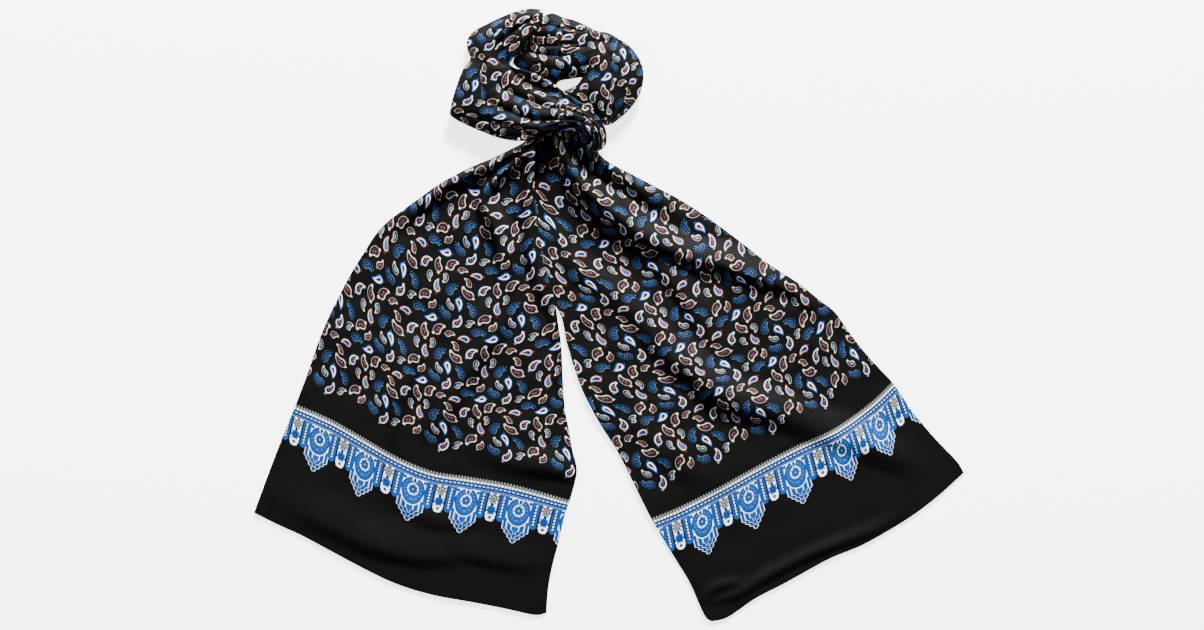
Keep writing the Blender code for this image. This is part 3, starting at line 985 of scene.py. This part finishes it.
# White lobe: foot, half width, scallops of its edge
LOBE_FOOT = 31.6
LOBE_HALF = 5.0
SCALLOP_PITCH = 2.8
ROSE_DOWN = 26.2
SPRIG_DOWN = 16.0


def rings(paint, colour, far, shades):
    """Round spots one in the other: radius and colour, from the outside in."""
    for radius, shade in shades:
        colour = paint.mix(far.below(radius), colour, shade)
    return colour


def teeth_and_cord(paint, colour, u, down):
    """The row of teeth at the top and the lines under it."""
    tooth = abs(u.wrap(TOOTH_PITCH)) * TOOTH_SLOPE
    teeth = (down - tooth).above(0.1, 0.5) * down.below(TOOTH_FOOT)
    colour = paint.mix(teeth, colour, SMOKE)
    colour = paint.mix(teeth * down.between(0.3, 2.0), colour, GREY)
    for first, last, shade, pitch, half, blur in CORD_LINES:
        line = down.between(first, last)
        if pitch:
            line = line * abs(u.wrap(pitch)).below(half, blur)
        colour = paint.mix(line, colour, shade)
    return colour


def stepped_drop(paint, colour, m, down):
    """White cell of the medallion, with the blue drop that ends in a stepped point."""
    step = STEP_DEPTH * abs(down.wrap(STEP_PITCH)) - 0.9
    reach = (DROP_POINT - down) * DROP_SLOPE + step
    edge = reach.low(CELL_HALF) - m
    cell = edge.above(0.0) * down.above(CELL_TOP)
    drop = cell * down.above(DROP_TOP)
    colour = paint.mix(cell, colour, WHITE)
    wave = edge + 0.5 * (m * 1.6).sine()
    colour = paint.mix(drop * edge.above(0.5), colour, SKY)
    for first, last, shade in DROP_WAVES:
        colour = paint.mix(drop * wave.between(first, last), colour, shade)
    return paint.mix(m.between(10.7, 12.0) * down.between(CELL_TOP, 31.0), colour, SKY)


def medallion(paint, colour, m, down):
    """Blue ring with its spots, the white mouth at its top and the flower in its middle."""
    below = down - RING_DOWN
    ring = away(m, below)
    point = ring - 0.30 * (below - 5.0).high(0.0)
    colour = paint.mix(point.between(10.7, 11.4) * down.above(26.0), colour, WHITE)
    colour = paint.mix(point.below(RING_RADIUS), colour, SKY)
    colour = paint.mix(point.between(10.1, 10.6), colour, DEEP)
    spots = paint.petals(m, below, 15.0)
    colour = paint.mix(point.between(7.4, 8.2) * spots.above(0.8, 0.5), colour, GREY)
    colour = rings(paint, colour, away(m - 9.4, down - 13.4), [(1.6, SKY), (0.5, DEEP)])
    mouth = m - 0.42 * (19.0 - down)
    colour = paint.mix(mouth.below(0.6) * down.between(12.6, MOUTH_FOOT), colour, DEEP)
    colour = paint.mix(mouth.below(0.0) * down.between(MOUTH_TOP, MOUTH_FOOT), colour, WHITE)
    frill = ring + 0.35 * paint.petals(m, below, 16.0)
    colour = rings(paint, colour, frill, [(5.9, DEEP), (5.2, WHITE)])
    flower = ring + 0.5 * paint.petals(m, below, 8.0)
    colour = rings(paint, colour, flower, [(4.2, DEEP), (3.7, SKY)])
    colour = paint.mix(ring.between(1.1, 2.0), colour, DEEP)
    colour = paint.mix(ring.below(1.0), colour, GREY)
    return rings(paint, colour, away(m, (down - 14.0) * 0.7), [(1.5, SKY), (0.6, DEEP)])


def blue_bar(paint, colour, m, down):
    """The bar on each side of a medallion, with a slot of beads and a small knot over it."""
    bar_x = m - BAR_ACROSS
    bar = away(bar_x, (down - BAR_FOOT).high(0.0))
    shown = down.above(CELL_TOP)
    colour = paint.mix(bar.below(BAR_HALF) * shown, colour, SKY)
    colour = paint.mix(bar.between(3.2, 3.6) * shown, colour, DEEP)
    slot = away(bar_x, (abs(down - SLOT_DOWN) - SLOT_HALF).high(0.0))
    colour = paint.mix(slot.below(1.8), colour, DEEP)
    beads = away(bar_x, (down - SLOT_DOWN).wrap(BEAD_PITCH))
    colour = paint.mix(slot.below(1.7) * beads.below(0.8, 0.3), colour, WHITE)
    return rings(paint, colour, away(bar_x, down - 13.2), [(1.2, DEEP), (0.6, WHITE)])


def white_lobe(paint, colour, lobe, down):
    """White lobe between two bars, with a sprig, a knob, a rose and a bead."""
    scallop = 0.5 * abs(down.wrap(SCALLOP_PITCH))
    far = away(lobe, (down - LOBE_FOOT).high(0.0)) - scallop * down.above(28.0)
    half = LOBE_HALF - 0.10 * (down - 22.0).high(0.0).low(9.0)
    panel = far.below(half) * down.above(CELL_TOP)
    colour = paint.mix(panel, colour, WHITE)
    colour = paint.mix(panel * lobe.between(4.3, 5.4) * down.below(29.0), colour, DEEP)
    rose_y = down - ROSE_DOWN
    rose = away(lobe, rose_y)
    outline = rose + 0.5 * paint.petals(lobe, rose_y, 8.0)
    colour = paint.mix(outline.below(4.3), colour, SKY)
    colour = paint.mix(rose.between(1.0, 2.2), colour, DEEP)
    colour = paint.mix(rose.below(0.8), colour, SKY)
    colour = rings(paint, colour, away(lobe, down - 32.6), [(1.6, SKY)])
    colour = rings(paint, colour, away(lobe, down - 21.0), [(1.6, DEEP)])
    sprig_y = down - SPRIG_DOWN
    bloom = away(lobe, sprig_y)
    sprig = bloom + 1.2 * paint.petals(lobe, sprig_y, 8.0)
    colour = paint.mix(sprig.between(0.7, 4.4), colour, SMOKE)
    return paint.mix(bloom.below(1.1), colour, DEEP)


def border_colours(paint, u, v, colour):
    """The ornamental band along each short end; u starts at the middle of a lobe."""
    down = BORDER_TOP - v
    m = abs((u - 0.5 * PITCH).wrap(PITCH))
    colour = teeth_and_cord(paint, colour, u, down)
    colour = stepped_drop(paint, colour, m, down)
    colour = medallion(paint, colour, m, down)
    colour = blue_bar(paint, colour, m, down)
    return white_lobe(paint, colour, 0.5 * PITCH - m, down)


def printed_silk():
    """Black silk twill with the paisley print and the border, low in sheen."""
    paint = Painter("printed_silk")
    spot = paint.in_mm("print")
    place = paint.in_mm("cloth")
    u, v = paint.parts(place)[:2]
    colour, inside = motif_colours(paint, spot, GROUND)
    colour = border_colours(paint, u, v, colour)
    paint.tree.links.new(colour, paint.shader.inputs["Base Color"])
    twill = ((u + v) * 12.0).sine() * 0.5 + ((u - v) * 5.0).sine() * 0.25
    slub = paint.number(
        "ShaderNodeTexNoise", values={"Vector": place, "Scale": 0.9, "Detail": 3.0}
    )
    bump = paint.node(
        "ShaderNodeBump", values={"Strength": 0.25, "Distance": 0.00012, "Height": twill + slub}
    )
    paint.tree.links.new(bump, paint.shader.inputs["Normal"])
    rough = 0.60 + 0.08 * slub + 0.06 * inside
    paint.tree.links.new(rough.socket, paint.shader.inputs["Roughness"])
    paint.shader.inputs["Specular IOR Level"].default_value = 0.05
    return paint.material


def paper_floor():
    """Pale paper, lit from behind as on a light table."""
    paint = Painter("studio_floor")
    paint.shader.inputs["Base Color"].default_value = (0.92, 0.92, 0.92, 1.0)
    paint.shader.inputs["Emission Color"].default_value = (1.0, 1.0, 1.0, 1.0)
    paint.shader.inputs["Emission Strength"].default_value = 3.0
    paint.shader.inputs["Roughness"].default_value = 0.9
    paint.shader.inputs["Specular IOR Level"].default_value = 0.1
    return paint.material


silk = printed_silk()
fine = 1.0

# The pieces from the lowest to the top one; heap holds the tops that a later one passes over
tail_right, top = tail(
    "scarf_tail_right", (RIGHT_INNER_EDGE, RIGHT_OUTER_EDGE), (RIGHT_HEM, RIGHT_BORDER),
    RIGHT_FOLDS, RIGHT_BOW, RIGHT_SPREAD, border_at=0.222, length=486.0, lower=None,
    rows=int(230 * fine), columns=int(170 * fine), anchor=0.45, skew=(0.36, 0.32),
    lobe_start=23.5, material=silk,
)
heap = thin(*top)
tail_left, top = tail(
    "scarf_tail_left", (LEFT_OUTER_EDGE, LEFT_INNER_EDGE), (LEFT_HEM, LEFT_BORDER),
    LEFT_FOLDS, LEFT_BOW, LEFT_SPREAD, border_at=0.2325, length=465.0, lower=heap,
    rows=int(220 * fine), columns=int(170 * fine), anchor=0.55, skew=(-0.17, 0.0),
    lobe_start=6.5, material=silk,
)
heap = joined(heap, thin(*top))
neck_back, top = band(
    "scarf_neck_back", NECK_BACK, BACK_FURROWS, layers=2, lower=None, stations=90, columns=50,
    turn=complex(12.0, 700.0), spin=12.0, material=silk,
)
heap = joined(heap, thin(*top))
neck_right, top = band(
    "scarf_neck_right", NECK_RIGHT, RIGHT_FURROWS, layers=3, lower=heap, stations=170, columns=70,
    turn=complex(31.0, 640.0), spin=-8.0, material=silk,
)
heap = joined(heap, thin(*top))
neck_front = band(
    "scarf_neck_front", NECK_FRONT, FRONT_FURROWS, layers=3, lower=heap, stations=220, columns=80,
    turn=complex(5.0, 560.0), spin=24.0, material=silk,
)[0]

for piece, node in (
    (tail_right, "tail_right"), (tail_left, "tail_left"), (neck_back, "neck_back"),
    (neck_right, "neck_right"), (neck_front, "neck_front"),
):
    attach(piece, "root")
    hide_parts(node)

# Floor, lights and camera
FLOOR_HALF = 6.0
FLOOR_DROP = 0.0003
floor_mesh = bpy.data.meshes.new("studio_floor")
floor_body = bmesh.new()
bmesh.ops.create_grid(floor_body, x_segments=1, y_segments=1, size=FLOOR_HALF)
floor_body.to_mesh(floor_mesh)
floor_body.free()
floor = bpy.data.objects.new("studio_floor", floor_mesh)
floor_mesh.materials.append(paper_floor())
floor.location = (0.0, 0.0, -FLOOR_DROP)
bpy.context.scene.collection.objects.link(floor)


def lamp(name, size, power, azimuth, elevation, distance):
    """Soft box that faces the scarf from a bearing, counted from +X towards +Y."""
    data = bpy.data.lights.new(name, "AREA")
    data.shape = "SQUARE"
    data.size = size
    data.energy = power
    item = bpy.data.objects.new(name, data)
    flat = math.cos(math.radians(elevation)) * distance
    item.location = (
        flat * math.cos(math.radians(azimuth)), flat * math.sin(math.radians(azimuth)),
        math.sin(math.radians(elevation)) * distance,
    )
    item.rotation_euler = (math.radians(90 - elevation), 0.0, math.radians(azimuth + 90))
    bpy.context.scene.collection.objects.link(item)


# Name, side in metres, watts, bearing, height in degrees, distance in metres
lamp("key", 0.8, 950.0, 79.0, 25.0, 3.4)
lamp("fill_left", 0.9, 10.0, 160.0, 34.0, 1.3)
lamp("fill_right", 1.6, 4.0, 20.0, 36.0, 2.6)
lamp("fill_low", 1.6, 5.0, -95.0, 36.0, 2.2)

world = bpy.data.worlds.new("studio")
world.use_nodes = True
world.node_tree.nodes["Background"].inputs[0].default_value = (1.0, 1.0, 1.0, 1.0)
world.node_tree.nodes["Background"].inputs[1].default_value = 0.07
bpy.context.scene.world = world

# The camera looks straight down, from where its picture is as wide as the photo
LENS = 85.0
SENSOR = 36.0
CAMERA_PLAN = (-0.0064, 0.00046)
camera_data = bpy.data.cameras.new("photo")
camera_data.lens = LENS
camera_data.sensor_width = SENSOR
camera = bpy.data.objects.new("photo", camera_data)
camera_height = PHOTO_WIDTH * PIXEL * MM * LENS / SENSOR
camera.location = (*CAMERA_PLAN, camera_height)
bpy.context.scene.collection.objects.link(camera)
bpy.context.scene.camera = camera
bpy.context.view_layer.update()
